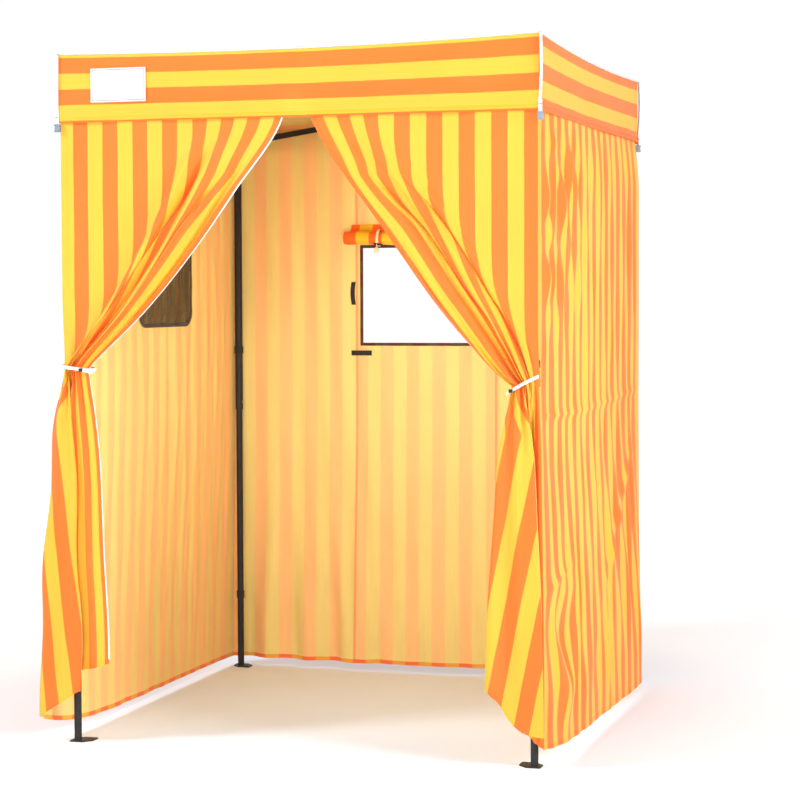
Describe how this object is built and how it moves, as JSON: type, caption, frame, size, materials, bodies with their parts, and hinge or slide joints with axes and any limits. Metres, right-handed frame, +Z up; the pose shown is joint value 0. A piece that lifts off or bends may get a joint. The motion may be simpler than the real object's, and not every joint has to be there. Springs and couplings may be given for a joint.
{
  "type": "privacy shower tent",
  "caption": "Tall square changing cabin of striped cloth on a black folding scissor frame, with tied-back front curtains, a back window and a mesh pocket.",
  "frame": {"origin": "on the floor, in the middle between the four feet", "axes": "+Z up, doorway faces -Y, +X to the right of someone looking at the doorway"},
  "size_m": [1.41, 1.36, 1.91],
  "materials": {
    "black_plastic": "moulded nylon",
    "black_steel": "satin black powder coat",
    "grey_plastic": "moulded acetal",
    "mesh": "black polyester mesh",
    "steel_tube": "satin black enamel",
    "striped_cloth": "coated polyester, yellow and orange stripes",
    "touch_tape": "black touch tape",
    "webbing": "white woven webbing",
    "zinc": "zinc plate"
  },
  "bodies": {
    "leg_back_left": {"upper_leg_back_left": "steel_tube", "top_bracket_back_left": "black_steel", "wall_back": "striped_cloth", "wall_left": "striped_cloth", "roof": "striped_cloth", "valance_back": "striped_cloth", "valance_left": "striped_cloth", "mesh_pocket": "mesh", "window_cover": "striped_cloth", "leg_straps": "touch_tape", "corner_buckles": "grey_plastic"},
    "lower_leg_back_left": {"lower_leg_back_left": "steel_tube", "foot_plate_back_left": "black_steel"},
    "leg_button_back_left": {"leg_button_back_left": "zinc"},
    "slider_back_left": {"slider_back_left": "black_steel"},
    "release_ring_back_left": {"release_ring_back_left": "black_plastic"},
    "leg_back_right": {"upper_leg_back_right": "steel_tube", "top_bracket_back_right": "black_steel", "wall_right": "striped_cloth", "valance_right": "striped_cloth"},
    "lower_leg_back_right": {"lower_leg_back_right": "steel_tube", "foot_plate_back_right": "black_steel"},
    "leg_button_back_right": {"leg_button_back_right": "zinc"},
    "slider_back_right": {"slider_back_right": "black_steel"},
    "release_ring_back_right": {"release_ring_back_right": "black_plastic"},
    "leg_front_left": {"upper_leg_front_left": "steel_tube", "top_bracket_front_left": "black_steel", "curtain_left": "striped_cloth", "tie_left": "webbing", "valance_front": "striped_cloth"},
    "lower_leg_front_left": {"lower_leg_front_left": "steel_tube", "foot_plate_front_left": "black_steel"},
    "leg_button_front_left": {"leg_button_front_left": "zinc"},
    "slider_front_left": {"slider_front_left": "black_steel"},
    "release_ring_front_left": {"release_ring_front_left": "black_plastic"},
    "leg_front_right": {"upper_leg_front_right": "steel_tube", "top_bracket_front_right": "black_steel", "curtain_right": "striped_cloth", "tie_right": "webbing"},
    "lower_leg_front_right": {"lower_leg_front_right": "steel_tube", "foot_plate_front_right": "black_steel"},
    "leg_button_front_right": {"leg_button_front_right": "zinc"},
    "slider_front_right": {"slider_front_right": "black_steel"},
    "release_ring_front_right": {"release_ring_front_right": "black_plastic"},
    "back_top_bar_left": {"back_top_bar_left": "steel_tube"},
    "back_slider_bar_left": {"back_slider_bar_left": "steel_tube"},
    "back_top_bar_right": {"back_top_bar_right": "steel_tube"},
    "back_slider_bar_right": {"back_slider_bar_right": "steel_tube"},
    "left_top_bar_back": {"left_top_bar_back": "steel_tube"},
    "left_slider_bar_back": {"left_slider_bar_back": "steel_tube"},
    "left_top_bar_front": {"left_top_bar_front": "steel_tube"},
    "left_slider_bar_front": {"left_slider_bar_front": "steel_tube"},
    "front_top_bar_left": {"front_top_bar_left": "steel_tube"},
    "front_slider_bar_left": {"front_slider_bar_left": "steel_tube"},
    "front_top_bar_right": {"front_top_bar_right": "steel_tube"},
    "front_slider_bar_right": {"front_slider_bar_right": "steel_tube"},
    "right_top_bar_back": {"right_top_bar_back": "steel_tube"},
    "right_slider_bar_back": {"right_slider_bar_back": "steel_tube"},
    "right_top_bar_front": {"right_top_bar_front": "steel_tube"},
    "right_slider_bar_front": {"right_slider_bar_front": "steel_tube"}
  },
  "joints": [
    {"name": "fold", "type": "hinge", "parent": "leg_back_left", "child": "back_top_bar_left", "pos_m": [-0.623, 0.653, 1.882], "axis": [0, 1, 0], "range_deg": [0, 71.5], "deforming": ["wall_back", "wall_left", "roof", "valance_back", "valance_left", "mesh_pocket", "window_cover", "leg_straps", "corner_buckles", "wall_right", "valance_right", "curtain_left", "tie_left", "valance_front", "curtain_right", "tie_right"]},
    {"name": "back_slider_bar_left_turn", "type": "hinge", "parent": "back_top_bar_left", "child": "back_slider_bar_left", "pos_m": [-0.18192, 0.653, 1.81608], "axis": [0, 1, 0], "range_deg": [-144, 1]},
    {"name": "back_top_bar_right_turn", "type": "hinge", "parent": "back_top_bar_left", "child": "back_top_bar_right", "pos_m": [0, 0.653, 1.78889], "axis": [0, 1, 0], "range_deg": [-144, 1]},
    {"name": "leg_back_right_turn", "type": "hinge", "parent": "back_top_bar_right", "child": "leg_back_right", "pos_m": [0.623, 0.653, 1.882], "axis": [0, 1, 0], "range_deg": [-1, 72.5]},
    {"name": "back_slider_bar_right_turn", "type": "hinge", "parent": "back_top_bar_right", "child": "back_slider_bar_right", "pos_m": [0.18192, 0.653, 1.81608], "axis": [0, 1, 0], "range_deg": [-1, 144]},
    {"name": "slider_back_left_turn", "type": "hinge", "parent": "back_slider_bar_left", "child": "slider_back_left", "pos_m": [-0.623, 0.653, 1.75016], "axis": [0, 1, 0], "range_deg": [-1, 72.5]},
    {"name": "slider_back_right_turn", "type": "hinge", "parent": "back_slider_bar_right", "child": "slider_back_right", "pos_m": [0.623, 0.653, 1.75016], "axis": [0, 1, 0], "range_deg": [-72.5, 1]},
    {"name": "left_top_bar_back_turn", "type": "hinge", "parent": "leg_back_left", "child": "left_top_bar_back", "pos_m": [-0.653, 0.623, 1.882], "axis": [1, 0, 0], "range_deg": [-1, 72.5]},
    {"name": "left_slider_bar_back_turn", "type": "hinge", "parent": "left_top_bar_back", "child": "left_slider_bar_back", "pos_m": [-0.653, 0.18192, 1.81608], "axis": [1, 0, 0], "range_deg": [-144, 1]},
    {"name": "left_top_bar_front_turn", "type": "hinge", "parent": "left_top_bar_back", "child": "left_top_bar_front", "pos_m": [-0.653, 0, 1.78889], "axis": [1, 0, 0], "range_deg": [-144, 1]},
    {"name": "leg_front_left_turn", "type": "hinge", "parent": "left_top_bar_front", "child": "leg_front_left", "pos_m": [-0.653, -0.623, 1.882], "axis": [1, 0, 0], "range_deg": [-1, 72.5]},
    {"name": "left_slider_bar_front_turn", "type": "hinge", "parent": "left_top_bar_front", "child": "left_slider_bar_front", "pos_m": [-0.653, -0.18192, 1.81608], "axis": [1, 0, 0], "range_deg": [-1, 144]},
    {"name": "slider_front_left_turn", "type": "hinge", "parent": "left_slider_bar_front", "child": "slider_front_left", "pos_m": [-0.653, -0.623, 1.75016], "axis": [1, 0, 0], "range_deg": [-72.5, 1]},
    {"name": "front_top_bar_left_turn", "type": "hinge", "parent": "leg_front_left", "child": "front_top_bar_left", "pos_m": [-0.623, -0.653, 1.882], "axis": [0, 1, 0], "range_deg": [-1, 72.5]},
    {"name": "front_slider_bar_left_turn", "type": "hinge", "parent": "front_top_bar_left", "child": "front_slider_bar_left", "pos_m": [-0.18192, -0.653, 1.81608], "axis": [0, 1, 0], "range_deg": [-144, 1]},
    {"name": "front_top_bar_right_turn", "type": "hinge", "parent": "front_top_bar_left", "child": "front_top_bar_right", "pos_m": [0, -0.653, 1.78889], "axis": [0, 1, 0], "range_deg": [-144, 1]},
    {"name": "leg_front_right_turn", "type": "hinge", "parent": "front_top_bar_right", "child": "leg_front_right", "pos_m": [0.623, -0.653, 1.882], "axis": [0, 1, 0], "range_deg": [-1, 72.5]},
    {"name": "front_slider_bar_right_turn", "type": "hinge", "parent": "front_top_bar_right", "child": "front_slider_bar_right", "pos_m": [0.18192, -0.653, 1.81608], "axis": [0, 1, 0], "range_deg": [-1, 144]},
    {"name": "slider_front_right_turn", "type": "hinge", "parent": "front_slider_bar_right", "child": "slider_front_right", "pos_m": [0.623, -0.653, 1.75016], "axis": [0, 1, 0], "range_deg": [-72.5, 1]},
    {"name": "right_top_bar_back_turn", "type": "hinge", "parent": "leg_back_right", "child": "right_top_bar_back", "pos_m": [0.653, 0.623, 1.882], "axis": [1, 0, 0], "range_deg": [-1, 72.5]},
    {"name": "right_slider_bar_back_turn", "type": "hinge", "parent": "right_top_bar_back", "child": "right_slider_bar_back", "pos_m": [0.653, 0.18192, 1.81608], "axis": [1, 0, 0], "range_deg": [-144, 1]},
    {"name": "right_top_bar_front_turn", "type": "hinge", "parent": "leg_front_right", "child": "right_top_bar_front", "pos_m": [0.653, -0.623, 1.882], "axis": [1, 0, 0], "range_deg": [-72.5, 1]},
    {"name": "right_slider_bar_front_turn", "type": "hinge", "parent": "right_top_bar_front", "child": "right_slider_bar_front", "pos_m": [0.653, -0.18192, 1.81608], "axis": [1, 0, 0], "range_deg": [-1, 144]},
    {"name": "leg_slide_back_left", "type": "slide", "parent": "leg_back_left", "child": "lower_leg_back_left", "axis": [0, 0, 1], "range_m": [0, 0.76], "deforming": ["leg_button_back_left", "leg_straps"]},
    {"name": "button_press_back_left", "type": "slide", "parent": "lower_leg_back_left", "child": "leg_button_back_left", "axis": [-1, 0, 0], "range_m": [0, 0.0045], "stiffness_N_per_m": 400},
    {"name": "ring_pull_back_left", "type": "slide", "parent": "slider_back_left", "child": "release_ring_back_left", "axis": [0, 0, -1], "range_m": [0, 0.006], "stiffness_N_per_m": 400},
    {"name": "leg_slide_back_right", "type": "slide", "parent": "leg_back_right", "child": "lower_leg_back_right", "axis": [0, 0, 1], "range_m": [0, 0.76], "deforming": ["leg_button_back_right", "leg_straps"]},
    {"name": "button_press_back_right", "type": "slide", "parent": "lower_leg_back_right", "child": "leg_button_back_right", "axis": [1, 0, 0], "range_m": [0, 0.0045], "stiffness_N_per_m": 400},
    {"name": "ring_pull_back_right", "type": "slide", "parent": "slider_back_right", "child": "release_ring_back_right", "axis": [0, 0, -1], "range_m": [0, 0.006], "stiffness_N_per_m": 400},
    {"name": "leg_slide_front_left", "type": "slide", "parent": "leg_front_left", "child": "lower_leg_front_left", "axis": [0, 0, 1], "range_m": [0, 0.76], "deforming": ["leg_button_front_left", "leg_straps"]},
    {"name": "button_press_front_left", "type": "slide", "parent": "lower_leg_front_left", "child": "leg_button_front_left", "axis": [-1, 0, 0], "range_m": [0, 0.0045], "stiffness_N_per_m": 400},
    {"name": "ring_pull_front_left", "type": "slide", "parent": "slider_front_left", "child": "release_ring_front_left", "axis": [0, 0, -1], "range_m": [0, 0.006], "stiffness_N_per_m": 400},
    {"name": "leg_slide_front_right", "type": "slide", "parent": "leg_front_right", "child": "lower_leg_front_right", "axis": [0, 0, 1], "range_m": [0, 0.76], "deforming": ["leg_button_front_right", "leg_straps"]},
    {"name": "button_press_front_right", "type": "slide", "parent": "lower_leg_front_right", "child": "leg_button_front_right", "axis": [1, 0, 0], "range_m": [0, 0.0045], "stiffness_N_per_m": 400},
    {"name": "ring_pull_front_right", "type": "slide", "parent": "slider_front_right", "child": "release_ring_front_right", "axis": [0, 0, -1], "range_m": [0, 0.006], "stiffness_N_per_m": 400}
  ],
  "couplings": [
    {"joint": "back_slider_bar_left_turn", "follows": "fold", "ratio": -2},
    {"joint": "back_top_bar_right_turn", "follows": "fold", "ratio": -2},
    {"joint": "leg_back_right_turn", "follows": "fold", "ratio": 1},
    {"joint": "back_slider_bar_right_turn", "follows": "fold", "ratio": 2},
    {"joint": "slider_back_left_turn", "follows": "fold", "ratio": 1},
    {"joint": "slider_back_right_turn", "follows": "fold", "ratio": -1},
    {"joint": "left_top_bar_back_turn", "follows": "fold", "ratio": 1},
    {"joint": "left_slider_bar_back_turn", "follows": "fold", "ratio": -2},
    {"joint": "left_top_bar_front_turn", "follows": "fold", "ratio": -2},
    {"joint": "leg_front_left_turn", "follows": "fold", "ratio": 1},
    {"joint": "left_slider_bar_front_turn", "follows": "fold", "ratio": 2},
    {"joint": "slider_front_left_turn", "follows": "fold", "ratio": -1},
    {"joint": "front_top_bar_left_turn", "follows": "fold", "ratio": 1},
    {"joint": "front_slider_bar_left_turn", "follows": "fold", "ratio": -2},
    {"joint": "front_top_bar_right_turn", "follows": "fold", "ratio": -2},
    {"joint": "leg_front_right_turn", "follows": "fold", "ratio": 1},
    {"joint": "front_slider_bar_right_turn", "follows": "fold", "ratio": 2},
    {"joint": "slider_front_right_turn", "follows": "fold", "ratio": -1},
    {"joint": "right_top_bar_back_turn", "follows": "fold", "ratio": 1},
    {"joint": "right_slider_bar_back_turn", "follows": "fold", "ratio": -2},
    {"joint": "right_top_bar_front_turn", "follows": "fold", "ratio": -1},
    {"joint": "right_slider_bar_front_turn", "follows": "fold", "ratio": 2}
  ]
}
